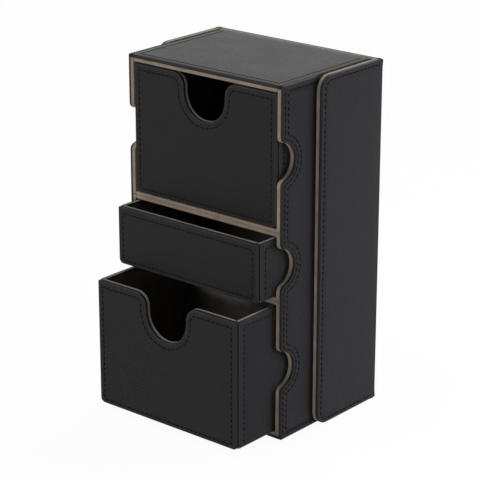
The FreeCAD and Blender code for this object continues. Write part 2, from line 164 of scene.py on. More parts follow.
def plain_weave(tree, along, across):
    """Height of a plain weave, and which set of yarns is on top: 1 for one set, -1 for the other."""
    along, across = (add(tree, "Math", [way, math.pi / YARN], operation="MULTIPLY")
                     for way in (along, across))
    first, second = (add(tree, "Math", [way], operation="SINE") for way in (along, across))
    crossing = add(tree, "Math", [first, second], operation="MULTIPLY")
    warp, weft = (add(tree, "Math", [add(tree, "Math", [yarn], operation="ABSOLUTE"), crossing],
                      operation=way) for yarn, way in ((first, "ADD"), (second, "SUBTRACT")))
    highest = add(tree, "Math", [warp, weft], operation="MAXIMUM")
    height = add(tree, "Math", [highest, 0.5], operation="MULTIPLY")
    # The product of two sines is the difference of two slanting waves. Making one of them weaker lets
    # the beads lean together into rows, as the embossing roller leaves them.
    slanting = []
    for way, share in (("SUBTRACT", 0.5 + LEAN / 2), ("ADD", 0.5 - LEAN / 2)):
        wave = add(tree, "Math", [add(tree, "Math", [along, across], operation=way)], operation="COSINE")
        slanting.append(add(tree, "Math", [wave, share], operation="MULTIPLY"))
    return height, add(tree, "Math", slanting, operation="SUBTRACT")


def woven_leather():
    """Black polyurethane leather: a satin film that mirrors its surroundings softly."""
    material, tree = new_material("polyurethane_leather_woven_grain")
    sheet, state = (add(tree, "Attribute", attribute_name=name).outputs["Vector"]
                    for name in ("leather_mm", "leather_state"))
    along, across, from_edge = add(tree, "SeparateXYZ", [sheet]).outputs
    pressed_and_shaded, rubbed, _ = add(tree, "SeparateXYZ", [state]).outputs
    height, on_top = plain_weave(tree, along, across)
    inside = add(tree, "MapRange", {"Value": from_edge, "From Min": PRESSED_FLAT,
                                    "From Max": GRAIN_FULL})
    # Film this thin follows the board, so a slow unevenness bends the highlight a little.
    spot = add(tree, "TexCoord").outputs["Object"]
    slow = add(tree, "TexNoise", {"Vector": spot, "Scale": patches(22), "Detail": 2.0})
    pores = add(tree, "TexNoise", {"Vector": spot, "Scale": patches(0.38), "Detail": 2.0})
    proud = add(tree, "Math", [on_top, 0.35, height], operation="MULTIPLY_ADD")  # one set is higher
    grain = add(tree, "Math", [proud, inside], operation="MULTIPLY")
    relief = add(tree, "Bump", {"Height": slow, "Distance": 0.12 * MM})
    relief = add(tree, "Bump", {"Height": pores, "Distance": 0.003 * MM, "Normal": relief})
    relief = add(tree, "Bump", {"Height": grain, "Distance": 0.1 * MM, "Normal": relief})
    # Light gets lost in the dips. The two sets of yarns lie in different directions, so one of them
    # catches the light while the other is nearly black.
    bright = add(tree, "MapRange", {"Value": on_top, "From Min": -0.35, "From Max": 0.35},
                 interpolation_type="SMOOTHSTEP")
    open_sky = add(tree, "Math", [height, 0.6, 0.4], operation="MULTIPLY_ADD")
    shade = add(tree, "Math", [bright, open_sky], operation="MULTIPLY")
    shade = add(tree, "Mix", {0: inside, 2: 0.42, 3: shade})
    tone = add(tree, "Mix", {0: shade, 6: colour("#020202"), 7: colour("#323233")}, data_type="RGBA")
    # The outermost edges are a little paler, partly polish from handling and partly a painted highlight.
    # The ledge behind a drawer front's face, through the thumb scoop too, gets a paler grey: a painted
    # highlight. Grooves, valleys and joints get painted shade, near black, and dust makes them matt.
    edge_highlight = add(tree, "MapRange", {"Value": from_edge, "From Max": 0.9, "To Min": 0.2, "To Max": 0.0})
    for share, hue in ((edge_highlight, "#2c2c2b"), (rubbed, "#4c4c4a"), (pressed_and_shaded, "#010101")):
        tone = add(tree, "Mix", {0: share, 6: tone.outputs[2], 7: colour(hue)}, data_type="RGBA")
    rough = add(tree, "MapRange", {"Value": slow, "To Min": 0.34, "To Max": 0.46})
    rough = add(tree, "Mix", {0: pressed_and_shaded, 2: rough, 3: 1.0})
    shader = add(tree, "BsdfPrincipled", {
        "Base Color": tone.outputs[2],
        "Roughness": rough,
        "Normal": relief,
        "IOR": 1.49,                 # polyurethane
        "Specular IOR Level": 0.04,  # the embossing swallows most of the gloss
    })
    add(tree, "OutputMaterial", {"Surface": shader})
    return material


LEATHER = woven_leather()
print(LEATHER.name, len(LEATHER.node_tree.nodes), "nodes")

# %% [markdown]
# ## Microfibre, thread, greyboard and magnets
#
# Microfibre is a brushed cloth of very fine fibres. It has almost no highlight of its own; what the
# eye reads is a pale bloom towards the edges of the shape, which the Sheen sockets give. The fibres
# are too fine to draw, so the nap is drawn as patches about 0.4 mm across. Thread is twisted from
# plies, greyboard is flecked with the paper it was pressed from, and magnets are plated with nickel,
# which keeps the rounded scratches of the tumbling drum. Each gets one pattern, at its real size.

# %% Microfibre material
def microfibre(name, dark, light, sheen):
    """Microfibre cloth: matt and soft, with nap that lies in slightly different directions."""
    material, tree = new_material(name)
    spot = add(tree, "TexCoord").outputs["Object"]
    nap = add(tree, "TexNoise", {"Vector": spot, "Scale": patches(0.42), "Detail": 4.0})
    brushed = add(tree, "TexNoise", {"Vector": spot, "Scale": patches(7.7), "Detail": 3.0})
    mixed = add(tree, "Math", [nap, brushed], operation="MULTIPLY")
    share = add(tree, "MapRange", {"Value": mixed, "From Min": 0.12, "From Max": 0.4})
    tone = add(tree, "Mix", {0: share, 6: colour(dark), 7: colour(light)}, data_type="RGBA")
    relief = add(tree, "Bump", {"Height": nap, "Distance": 0.06 * MM})
    shader = add(tree, "BsdfPrincipled", {
        "Base Color": tone.outputs[2],
        "Roughness": 0.92,
        "Normal": relief,
        "Specular IOR Level": 0.05,  # loose fibres send back hardly any mirror light
        "Sheen Weight": 0.22,
        "Sheen Roughness": 0.5,
        "Sheen Tint": colour(sheen),
    })
    add(tree, "OutputMaterial", {"Surface": shader})
    return material


MICROFIBRE = microfibre("microfibre_cloth_taupe", "#5c534a", "#75695e", "#ffe6cc")
DRAWER_CLOTH = microfibre("microfibre_cloth_grey_taupe", "#544f4a", "#6b6560", "#fff0e6")
print(MICROFIBRE.name, DRAWER_CLOTH.name)

# %% Thread, greyboard and magnet materials
PLY_TWIST = 0.286  # mm along the thread from one ply to the next; a wave texture counts 10 / pi of them


def sewing_thread():
    """Bonded polyester thread: black, twisted, a little glossier than cotton."""
    material, tree = new_material("bonded_polyester_thread_black")
    along = add(tree, "Attribute", attribute_name="thread_mm").outputs["Vector"]
    twist = add(tree, "TexWave", {"Vector": along, "Scale": 0.2 * math.pi / PLY_TWIST,
                                  "Distortion": 0.3}, bands_direction="DIAGONAL").outputs[1]
    tone = add(tree, "Mix", {0: twist, 6: colour("#020203"), 7: colour("#0b0b0c")}, data_type="RGBA")
    relief = add(tree, "Bump", {"Height": twist, "Distance": 0.05 * MM})
    shader = add(tree, "BsdfPrincipled", {"Base Color": tone.outputs[2], "Roughness": 0.6,
                                          "Normal": relief, "Specular IOR Level": 0.02})
    add(tree, "OutputMaterial", {"Surface": shader})
    return material


def greyboard():
    """Binder's board: pressed from mixed waste paper, so it is matt with darker flecks."""
    material, tree = new_material("greyboard_pressed_paper")
    spot = add(tree, "TexCoord").outputs["Object"]
    fleck = add(tree, "TexNoise", {"Vector": spot, "Scale": patches(0.67), "Detail": 5.0})
    tone = add(tree, "Mix", {0: fleck, 6: colour("#7b7872"), 7: colour("#a09c94")}, data_type="RGBA")
    relief = add(tree, "Bump", {"Height": fleck, "Distance": 0.05 * MM})
    shader = add(tree, "BsdfPrincipled", {"Base Color": tone.outputs[2], "Roughness": 0.9,
                                          "Normal": relief})
    add(tree, "OutputMaterial", {"Surface": shader})
    return material


def nickel_plate():
    """Nickel plating on a magnet: bright, with fine tumbling marks."""
    material, tree = new_material("nickel_plated_magnet")
    spot = add(tree, "TexCoord").outputs["Object"]
    marks = add(tree, "TexNoise", {"Vector": spot, "Scale": patches(1.1), "Detail": 3.0})
    rough = add(tree, "MapRange", {"Value": marks, "To Min": 0.2, "To Max": 0.38})
    shader = add(tree, "BsdfPrincipled", {"Base Color": colour("#c2bdb2"), "Metallic": 1.0,
                                          "Roughness": rough})
    add(tree, "OutputMaterial", {"Surface": shader})
    return material


THREAD, BOARD, NICKEL = sewing_thread(), greyboard(), nickel_plate()
print(THREAD.name, BOARD.name, NICKEL.name)

# %% [markdown]
# ## Drawing a panel's outline
#
# Every leather panel starts as a flat outline, the way a cutter's pattern does. An outline is a closed
# list of points, counter-clockwise. Arcs are drawn as short chords, and long straight runs are split
# too, because the later steps move each point by a little and need points to move.

# %% Arcs and outlines
CHORD_TURN, CHORD_LENGTH = 10, 0.8  # the most that one chord of an arc may turn (degrees) and span (mm)


def arc(centre, radius, start, end):
    """Points along an arc, angles in degrees; clockwise if `end` is less than `start`."""
    turn = abs(end - start)
    steps = max(math.ceil(turn / CHORD_TURN), math.ceil(math.radians(turn) * radius / CHORD_LENGTH))
    angles = np.radians(np.linspace(start, end, steps + 1))
    return [(centre[0] + radius * math.cos(t), centre[1] + radius * math.sin(t)) for t in angles]


def closed_outline(points, longest=3.0):
    """Drop repeated points and split long runs, so that the outline is evenly dense."""
    made = []
    for start, end in zip(points, points[1:] + points[:1]):
        run = math.dist(start, end)
        if run < 1e-6:
            continue
        pieces = math.ceil(run / longest)
        made += [tuple(np.array(start) + (np.array(end) - start) * i / pieces) for i in range(pieces)]
    return np.array(made)


def outward(outline):
    """Unit normals of a counter-clockwise outline, and the stretch that keeps its corners true."""
    before = outline - np.roll(outline, 1, axis=0)
    after = np.roll(outline, -1, axis=0) - outline
    before /= np.linalg.norm(before, axis=1)[:, None]
    after /= np.linalg.norm(after, axis=1)[:, None]
    tangent = before + after
    tangent /= np.linalg.norm(tangent, axis=1)[:, None]
    stretch = 1 / np.clip((tangent * after).sum(1), 0.5, 1)
    return np.stack([tangent[:, 1], -tangent[:, 0]], 1), stretch


def inset(outline, distance):
    """Move each point inward; `distance` may differ from point to point."""
    normal, stretch = outward(outline)
    return outline - normal * (np.broadcast_to(distance, len(outline)) * stretch)[:, None]


print("a quarter arc of 8 mm has", len(arc((0, 0), 8, 0, 90)), "points")

# %% [markdown]
# ## Sewing lines
#
# A sewing line follows the panel's edge at a fixed distance. Moving the outline inward gives that line,
# but where the edge curves tightly the moved line crosses over itself. The cure is a simple test: a
# point that lies nearer to the edge than the sewing distance can't be on the line, so it is dropped.

# %% Lines at a fixed distance from the edge
LINE_STEP, LINE_GAP = 0.4, 2.5  # mm between the points of a line, and between its points across a break


def everywhere(a, b):
    """Accepts every point of a row."""
    return True


def sewing_line(outline, distance, wanted=everywhere):
    """Runs of points that lie `distance` inside the outline, at the places that `wanted` accepts."""
    dense = closed_outline([tuple(p) for p in outline], longest=LINE_STEP)
    moved = inset(dense, distance)
    gaps = np.linalg.norm(moved[:, None] - dense[None], axis=2).min(1)
    keep = (gaps > distance - 0.03) & np.array([wanted(a, b) for a, b in moved])
    if keep.all():
        return [np.vstack([moved, moved[:1]])]
    start = int(np.argmin(keep))
    order = np.roll(np.arange(len(moved)), -start)
    runs, current = [], []
    for index in order:
        if keep[index] and (not current or math.dist(current[-1], moved[index]) < LINE_GAP):
            current.append(moved[index])
        elif keep[index]:
            runs.append(np.array(current))
            current = [moved[index]]
    runs.append(np.array(current))
    return [run for run in runs if len(run) > 3]


print("sewing lines ready")

# %% [markdown]
# ## A leather skin over a board
#
# The skin is a thin closed shell. Outside, it runs up the edge of the board, rolls over with a small
# radius and crosses the face. Inside, it follows the board at the leather's own thickness. Rings of
# points, one for each step of that path, are joined by quads, and the two faces are filled with
# triangles. The fill takes extra points along each sewing line, a little lower than the rest, so the
# thread lies in a real groove.

# %% The skin builder
LEATHER_THICK, EDGE_ROLL, GROOVE_DEPTH = 0.6, 0.8, 0.14
GROOVE = ((-0.5, 0.0), (-0.25, GROOVE_DEPTH / 2), (0.0, GROOVE_DEPTH), (0.25, GROOVE_DEPTH / 2),
          (0.5, 0.0))  # places across a sewn groove, and how deep it is there
SEWN_SHADE = 0.35  # how much painted shade darkens the bottom of a sewn groove
PLAIN_ROW = 5.6    # mm from the edge, clear of every groove
FILL_GAP = 0.22    # mm, the least distance between two points of the fill


def fill(loop, extra=()):
    """Triangles over a closed loop, through the extra points. Returns the points and the triangles."""
    points = [Vector(p) for p in loop] + [Vector(p) for p in extra]
    edges = [(i, (i + 1) % len(loop)) for i in range(len(loop))]
    verts, _, faces, *_ = delaunay_2d_cdt(points, edges, [], 1, 1e-5)
    return np.array([tuple(v) for v in verts]), [tuple(f) for f in faces]


def skin(outline, depth, roll, grooves, turned, side=((0.0, 0.0),), groove=GROOVE, rubbed=0.0,
         valley=0.0):
    """Vertices (a, b, height), sheet coordinates, state (painted shade, painted ledge highlight, 0) and
    faces of a skin. `turned` is 1 at points where the leather turns down over the edge, and 0 where the
    sheet just ends there. `grooves` lists rows as (outline, distance, wanted). `side` lists the way up the
    edge as (inward, height). The last two arguments say how much painted highlight each point's edge gets
    behind a deep groove, and how much painted shade its rolled edge gets where it sinks into a joint."""
    normal, _ = outward(outline)
    foot = np.where(turned > 0, 0.0, depth - LEATHER_THICK)
    count = len(outline)
    rings, sheet, state = [], [], []

    def ring(distance, height, unrolled, pressed_and_shaded=0.0, edge_highlight=0.0):
        flat = inset(outline, distance * turned)
        rings.append(np.column_stack([flat, height]))
        state.append(np.column_stack([v * np.ones(count) for v in (pressed_and_shaded, edge_highlight, 0.0)]))
        place = inset(outline, roll * turned) + normal * unrolled
        sheet.append(np.column_stack([place, np.zeros(count)]))

    # The foot and the points low on the edge get the painted ledge highlight; points of the edge more than
    # 0.3 mm in get painted shade, near black.
    ring(LEATHER_THICK, foot, 0.0, edge_highlight=rubbed)
    for inward, height in side:
        ring(inward, np.maximum(foot, height), depth - roll - height + roll * math.pi / 2,
             0.9 * (inward > 0.3), rubbed * (height < 0.9))
    # The rolled edge gets painted shade where it sinks into a joint.
    for angle in np.radians(np.linspace(0, 90, 6)):
        height = depth - turned * roll * (1 - math.sin(angle))
        ring(roll * (1 - math.cos(angle)), height, roll * (math.pi / 2 - angle),
             valley * math.cos(angle) ** 2)
    verts, uv = np.vstack(rings), np.vstack(sheet)
    faces = [(k * count + i, k * count + (i + 1) % count, (k + 1) * count + (i + 1) % count,
              (k + 1) * count + i) for k in range(len(rings) - 1) for i in range(count)]

    lines = [(line, distance + across, wanted, drop, 2) for line, distance, wanted in grooves
             for across, drop in groove]
    # One more row, behind all grooves, keeps each point's distance from the edge true up to there.
    # Without it, wide triangles would carry the border's smooth finish across the whole panel.
    lines.append((outline, PLAIN_ROW, everywhere, 0.0, 5))
    low = {}
    for line, distance, wanted, drop, every in lines:
        for run in sewing_line(line, distance, wanted):
            for a, b in run[::every]:
                low.setdefault((round(a / FILL_GAP), round(b / FILL_GAP)), (a, b, drop))
    extra = np.array(list(low.values()))
    face, triangles = fill(rings[-1][:, :2], extra[:, :2])
    near = np.linalg.norm(face[:, None] - extra[None, :, :2], axis=2)
    sink = np.where(near.min(1) < 0.02, extra[near.argmin(1), 2], 0)
    height = depth - sink
    # The bottom of a sewn groove or crease gets painted shade.
    sunk = sink / max(drop for _, drop in groove) * SEWN_SHADE
    state.append(np.column_stack([sunk, 0 * sunk, 0 * sunk]))
    edge = np.linalg.norm(face[:, None] - outline[None], axis=2).min(1)
    faces += [tuple(i + len(verts) for i in t) for t in triangles]
    verts = np.vstack([verts, np.column_stack([face, height])])
    uv = np.vstack([uv, np.column_stack([face, edge])])

    # The inside: a ring at the board's upper corner, then the underside of the sheet.
    under = inset(outline, LEATHER_THICK * turned)
    lid, triangles = fill(under)
    start = len(verts)
    verts = np.vstack([verts, np.column_stack([under, np.full(count, depth - LEATHER_THICK)]),
                       np.column_stack([lid, np.full(len(lid), depth - LEATHER_THICK)])])
    uv = np.vstack([uv, np.column_stack([under, np.zeros(count)]),
                    np.column_stack([lid, np.zeros(len(lid))])])
    state.append(np.zeros((count + len(lid), 3)))
    faces += [(i, start + i, start + (i + 1) % count, (i + 1) % count) for i in range(count)]
    faces += [tuple(i + start + count for i in t) for t in triangles]
    return verts, uv, np.vstack(state), faces


print("skin builder ready")

# %% Turn points and faces into a Blender object
SHARP, SHARP_THREAD = 38, 60  # degrees from which an edge is shaded as sharp


def put_vectors(mesh, attribute, domain, values):
    """Write one vector for each point or face corner of a mesh."""
    layer = mesh.attributes.new(attribute, "FLOAT_VECTOR", domain)
    layer.data.foreach_set("vector", np.asarray(values, np.float32).ravel())


def shown(name, mesh, material, sharp=SHARP):
    """Put a mesh into the scene, smooth apart from its sharp edges."""
    mesh.polygons.foreach_set("use_smooth", [True] * len(mesh.polygons))
    mesh.set_sharp_from_angle(angle=math.radians(sharp))
    mesh.materials.append(material)
    made = bpy.data.objects.new(name, mesh)
    bpy.context.scene.collection.objects.link(made)
    return made


def finish_mesh(name, verts, faces, material, attributes, sharp=SHARP):
    """A mesh in metres whose doubled points are joined and whose faces look outward."""
    mesh = bpy.data.meshes.new(name)
    mesh.from_pydata((np.asarray(verts) * MM).tolist(), [], faces)
    for attribute, values in attributes.items():
        put_vectors(mesh, attribute, "POINT", values)
    shape = bmesh.new()
    shape.from_mesh(mesh)
    bmesh.ops.remove_doubles(shape, verts=shape.verts, dist=1e-6)
    bmesh.ops.dissolve_degenerate(shape, edges=shape.edges, dist=1e-7)
    bmesh.ops.recalc_face_normals(shape, faces=shape.faces)
    shape.to_mesh(mesh)
    shape.free()
    return shown(name, mesh, material, sharp)


def facing(axis, base, out=1, lift=0.0):
    """Turns a panel's own (a, b, height) into a place in the frame. The panel faces along `axis`, its
    inner side lies at `base`, and `out` is -1 where it faces the negative way."""
    def place(a, b, height):
        point = [a, b + lift]
        point.insert(axis, base + out * height)
        return tuple(point)
    return place


def stand_for(made, node, body):
    """Let a leather piece take the place of a CAD node and ride on its body."""
    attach(made, body)
    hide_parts(node)
    print(made.name, len(made.data.vertices), "points")


def leather_panel(name, node, body, outline, depth, place, grooves=(), turned=None, mirror=1, **ways):
    """A leather skin that stands for a CAD node and rides on its body. `place` puts (a, b, height) in
    the frame; `mirror` of -1 slants the grain the other way."""
    turned = np.ones(len(outline)) if turned is None else turned
    verts, uv, state, faces = skin(outline, depth, EDGE_ROLL, grooves, turned, **ways)
    uv[:, 0] *= mirror
    made = finish_mesh(name, np.array([place(*v) for v in verts]), faces, LEATHER,
                       {"leather_mm": uv, "leather_state": state})
    stand_for(made, node, body)


print("mesh helpers ready")

# %% [markdown]
# ## Thread
#
# Each stitch is its own small bead of thread. It comes up out of the leather, lies along the groove and
# goes down again, a little aslant, as a lockstitch pulls it. One stitch is drawn once and copied along
# the sewing line, all in one mesh, which keeps thousands of stitches quick to draw.

# %% Stitches
STITCH_PITCH, STITCH_LENGTH, THREAD_THICK = 3.35, 2.3, 0.6
STITCH_SLANT = math.radians(7)


def tube(rings, around):
    """Faces of a tube whose rings have `around` points each, with both of its ends closed."""
    sides = [(k * around + i, k * around + (i + 1) % around, (k + 1) * around + (i + 1) % around,
              (k + 1) * around + i) for k in range(rings - 1) for i in range(around)]
    last = (rings - 1) * around
    return sides + [tuple(range(around - 1, -1, -1)), tuple(range(last, last + around))]


def one_stitch():
    """Points (along, across, up) and faces of a stitch, lying along the first axis."""
    rings, around = 7, 8
    points = []
    for t in np.linspace(-1, 1, rings):
        size = THREAD_THICK / 2 * (1 - 0.55 * abs(t) ** 3)  # thinner towards its ends
        lift = 0.16 - 0.36 * abs(t) ** 2.5                  # which dive into the leather
        for turn in np.linspace(0, 2 * math.pi, around, endpoint=False):
            points.append((t * STITCH_LENGTH / 2, size * math.cos(turn), lift + size * math.sin(turn)))
    return np.array(points), tube(rings, around)


def evenly(run, pitch):
    """Places and directions along a run of points, one for each stitch."""
    steps = np.linalg.norm(np.diff(run, axis=0), axis=1)
    along = np.concatenate([[0], np.cumsum(steps)])
    count = max(1, round(along[-1] / pitch))
    at = (np.arange(count) + 0.5) * along[-1] / count
    centres, ahead, behind = (np.column_stack([np.interp(at + shift, along, run[:, i]) for i in (0, 1)])
                              for shift in (0.0, LINE_STEP, -LINE_STEP))
    direction = ahead - behind
    return centres, direction / np.linalg.norm(direction, axis=1)[:, None]


def sew(name, body, runs, height, place):
    """Stitches along runs of (a, b) points on a face at that height."""
    shape, shape_faces = one_stitch()
    cos, sin = math.cos(STITCH_SLANT), math.sin(STITCH_SLANT)
    verts, faces, marks = [], [], []
    for run in runs:
        for (a, b), (da, db) in zip(*evenly(run, STITCH_PITCH)):
            da, db = da * cos - db * sin, da * sin + db * cos
            start = len(verts)
            for along, across, up in shape:
                verts.append(place(a + along * da - across * db, b + along * db + across * da, height + up))
                marks.append((along, across * 2, up * 2))
            faces += [tuple(i + start for i in f) for f in shape_faces]
    made = finish_mesh(name, np.array(verts), faces, THREAD, {"thread_mm": marks}, SHARP_THREAD)
    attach(made, body)
    print(name, len(verts) // len(shape), "stitches")


print("one stitch has", len(one_stitch()[0]), "points")

# %% [markdown]
# ## Drawer fronts
#
# Each drawer's front is a board with leather turned round all its edges. The card drawers have a
# U-shaped thumb scoop with generous shoulders. The sewing line keeps 3.6 mm from the edge, through the
# scoop as well, but runs nearer to the lower edge. Drawing it from an outline that reaches 1.2 mm lower
# than the panel gives just that.
#
# The face is a thin panel glued on the front of the drawer's box. Between the two runs a narrow
# groove, 1 mm behind the face. It is part of the skin's way up the edge, so it follows the scoop.

# %% Drawer fronts
FRONT_SEWING, LOWER_SHIFT = 3.6, 1.2
FRONT_LOWER_CORNER, FRONT_UPPER_CORNER = 3.0, 0.9
SCOOP_SHOULDER, SCOOP_RADIUS, SCOOP_DEPTH = 8.0, 14.5, 24.5
# The glue groove's bottom, 0.52 mm in, gets painted shade, near black.
GLUE_GROOVE = ((0.0, 0.0), (0.0, 0.8), (0.1, 0.9), (0.52, 0.94), (0.52, 1.8), (0.12, 1.84), (0.0, 1.94))


def front_outline(width, height, scoop):
    """Seen from the front; the origin is the middle of the lower edge."""
    half, low, top = width / 2, FRONT_LOWER_CORNER, FRONT_UPPER_CORNER
    points = arc((-half + low, low), low, 180, 270) + arc((half - low, low), low, 270, 360)
    points += arc((half - top, height - top), top, 0, 90)
    if scoop:
        beside, above = SCOOP_RADIUS + SCOOP_SHOULDER, height - SCOOP_SHOULDER
        points += arc((beside, above), SCOOP_SHOULDER, 90, 180)
        points += arc((0, height - SCOOP_DEPTH + SCOOP_RADIUS), SCOOP_RADIUS, 0, -180)
        points += arc((-beside, above), SCOOP_SHOULDER, 0, 90)
    points += arc((-half + top, height - top), top, 90, 180)
    return closed_outline(points)


LEVELS = ("bottom", "middle", "top")
for level in LEVELS:
    node = f"{level}_drawer_front_leather"
    low, high = box_mm(node)
    width, height, thick = high[0] - low[0], high[2] - low[2], high[1] - low[1]
    outline = front_outline(width, height, level != "middle")
    on_front = facing(1, high[1], -1, low[2])
    longer = front_outline(width, height + LOWER_SHIFT, level != "middle")
    row = (longer - (0, LOWER_SHIFT), FRONT_SEWING)
    # The ledge behind the face, through the scoop as well, gets a painted highlight, a paler grey.
    upper_edge = (np.abs(outline[:, 0]) < width / 2 - 1) & (outline[:, 1] > 5)
    leather_panel(f"{level}_drawer_front", node, f"{level}_drawer", outline, thick, on_front,
                  [(*row, everywhere)], side=GLUE_GROOVE, rubbed=upper_edge.astype(float))
    sew(f"{level}_drawer_front_thread", f"{level}_drawer", sewing_line(*row), thick - GROOVE_DEPTH,
        on_front)

# %% [markdown]
# ## Sides of the case
#
# A side has three finger cut-outs in its front edge, each with soft shoulders. Two sewing lines run
# beside the front edge, 1.6 and 4.3 mm in, and follow the cut-outs. One line runs below the top, above
# the bottom and beside the rear edge.

# %% Sides of the case
EDGE_SEWING, SECOND_SEWING, RIM_SEWING = 1.6, 4.3, 3.0
SIDE_CORNER, NOTCH_DEPTH, NOTCH_RADIUS, NOTCH_SHOULDER = 0.9, 11.0, 10.5, 3.5
NOTCH_REACH = 22  # mm above and below a cut-out's middle, where its rows leave the straight edge


def side_outline(front, rear, base, top, notches):
    """Seen from the right; the finger cut-outs are in the front edge."""
    inner = ((front + SIDE_CORNER, base + SIDE_CORNER), (rear - SIDE_CORNER, base + SIDE_CORNER),
             (rear - SIDE_CORNER, top - SIDE_CORNER), (front + SIDE_CORNER, top - SIDE_CORNER))
    points = [p for centre, start in zip(inner, (180, 270, 0, 90))
              for p in arc(centre, SIDE_CORNER, start, start + 90)]
    centre = front + NOTCH_DEPTH - NOTCH_RADIUS
    shoulder = front + NOTCH_SHOULDER
    rise = math.sqrt((NOTCH_RADIUS + NOTCH_SHOULDER) ** 2 - (shoulder - centre) ** 2)
    tilt = math.degrees(math.atan2(rise, shoulder - centre))
    for middle in sorted(notches, reverse=True):
        points += arc((shoulder, middle + rise), NOTCH_SHOULDER, 180, 180 + tilt)
        points += arc((centre, middle), NOTCH_RADIUS, tilt, -tilt)
        points += arc((shoulder, middle - rise), NOTCH_SHOULDER, 180 - tilt, 180)
    return closed_outline(points)


FRONT_Y, REAR_Y, TOP_Z = case_low[1], case_high[1], case_high[2]
CELLS = [box_mm(f"{level}_cell_left_wall") for level in LEVELS]
NOTCHES = [(low[2] + high[2]) / 2 for low, high in CELLS]
side = side_outline(FRONT_Y, REAR_Y, 0.0, TOP_Z, NOTCHES)


def beside_front(distance):
    """Tells which points of a row belong to the front edge and its cut-outs."""
    def wanted(a, b):
        by_notch = min(abs(b - middle) for middle in NOTCHES) < NOTCH_REACH
        return (a < FRONT_Y + distance + 0.3 or by_notch) and RIM_SEWING < b < TOP_Z - RIM_SEWING
    return wanted


def beside_rim(a, b):
    """A strip along the top, the bottom and the rear, behind the two front rows."""
    clear = a > FRONT_Y + SECOND_SEWING
    return clear and (b < RIM_SEWING + 0.1 or b > TOP_Z - RIM_SEWING - 0.1 or a > REAR_Y - RIM_SEWING - 0.1)


# Where the leather turns round the board's inner edge it leaves a small valley to its neighbours,
# which gets painted shade, near black.
INNER_CHAMFER = ((0.5, 0.0), (0.15, 0.15), (0.0, 0.5))
SIDE_ROWS = [(side, d, beside_front(d)) for d in (EDGE_SEWING, SECOND_SEWING)]
SIDE_ROWS += [(side, RIM_SEWING, beside_rim)]
SIDE_STITCHES = [run for row in SIDE_ROWS for run in sewing_line(*row)]
HANDS = (("left", -1), ("right", 1))
flap_front = box_mm("right_flap_leather")[0][1]
# Behind the flap's front, the side's rolled top edge sinks into the joint with the top sheet and gets
# painted shade.
behind_flap = (side[:, 1] > TOP_Z - 1) & (side[:, 0] > flap_front)
for name, sign in HANDS:
    low, high = box_mm(f"case_{name}_leather")
    thick = high[0] - low[0]
    on_side = facing(0, low[0] if sign > 0 else high[0], sign)
    leather_panel(f"case_{name}_side", f"case_{name}_leather", "case", side, thick, on_side, SIDE_ROWS,
                  mirror=-1, side=INNER_CHAMFER, valley=behind_flap.astype(float))
    sew(f"case_{name}_side_thread", "case", SIDE_STITCHES, thick - GROOVE_DEPTH, on_side)

# %% [markdown]
# ## Top, back and underside of the case
#
# One sheet of leather covers the top and goes on down the back. A crease runs 3.9 mm inside its front
# edge and its sides, where the sheet is pressed against the board. It has no stitches, so it is only a
# groove, with painted shade at its bottom. The sheet rolls over its edges, so it meets the sides of the
# case in a valley, and there its rolled edge gets painted shade.

# %% Top and back of the case
CREASE_INSET, CREASE_END = 3.9, 4.5  # mm from the sheet's edge, and from the rear, where it stops
CREASE = ((-0.55, 0.0), (-0.3, 0.28), (0.0, 0.38), (0.3, 0.28), (0.55, 0.0))
FAR_FROM_EDGE = 10.0  # mm; the grain is at its full height there
half = box_mm("case_wrap_leather")[1][0]
base = box_mm("case_top_board")[0][2]
top = closed_outline([(-half, FRONT_Y), (half, FRONT_Y), (half, REAR_Y), (-half, REAR_Y)])
crease = [(top, CREASE_INSET, lambda a, b: b < REAR_Y - CREASE_END)]
# At the sides the rolled edge sinks into the joint with the case's sides and gets painted shade.
at_side = np.abs(top[:, 0]) > half - 0.01
verts, uv, state, faces = skin(top, TOP_Z - base, EDGE_ROLL, crease, np.ones(len(top)), groove=CREASE,
                               valley=at_side.astype(float))
verts[:, 2] += base

# Down the back the sheet is a plain slab, which starts just under the top's rolled edge.
back_y, back_top = (REAR_Y - LEATHER_THICK, REAR_Y), (0.0, TOP_Z - EDGE_ROLL - 0.1)
corners = [(x, y, z) for x in (-half, half) for y in back_y for z in back_top]
slab = [(0, 1, 3, 2), (4, 6, 7, 5), (0, 4, 5, 1), (2, 3, 7, 6), (0, 2, 6, 4), (1, 5, 7, 3)]
faces += [tuple(i + len(verts) for i in f) for f in slab]
verts = np.vstack([verts, corners])
uv = np.vstack([uv, [(x, z, FAR_FROM_EDGE) for x, _, z in corners]])
state = np.vstack([state, np.zeros((len(corners), 3))])
wrap = finish_mesh("case_top_and_back", verts, faces, LEATHER, {"leather_mm": uv, "leather_state": state})
stand_for(wrap, "case_wrap_leather", "case")

# %% [markdown]
# ## Softened copies
#
# The drawers' sides and the underside are right as CAD made them, apart from edges that are too sharp
# for leather. A copy of the CAD mesh with a small bevel is enough. The copy is needed because the CAD
# mesh itself stays untouched, while the leather attributes have to be written on what is shown. Each
# face takes its sheet coordinates from the two axes that it faces least, which is called box mapping.

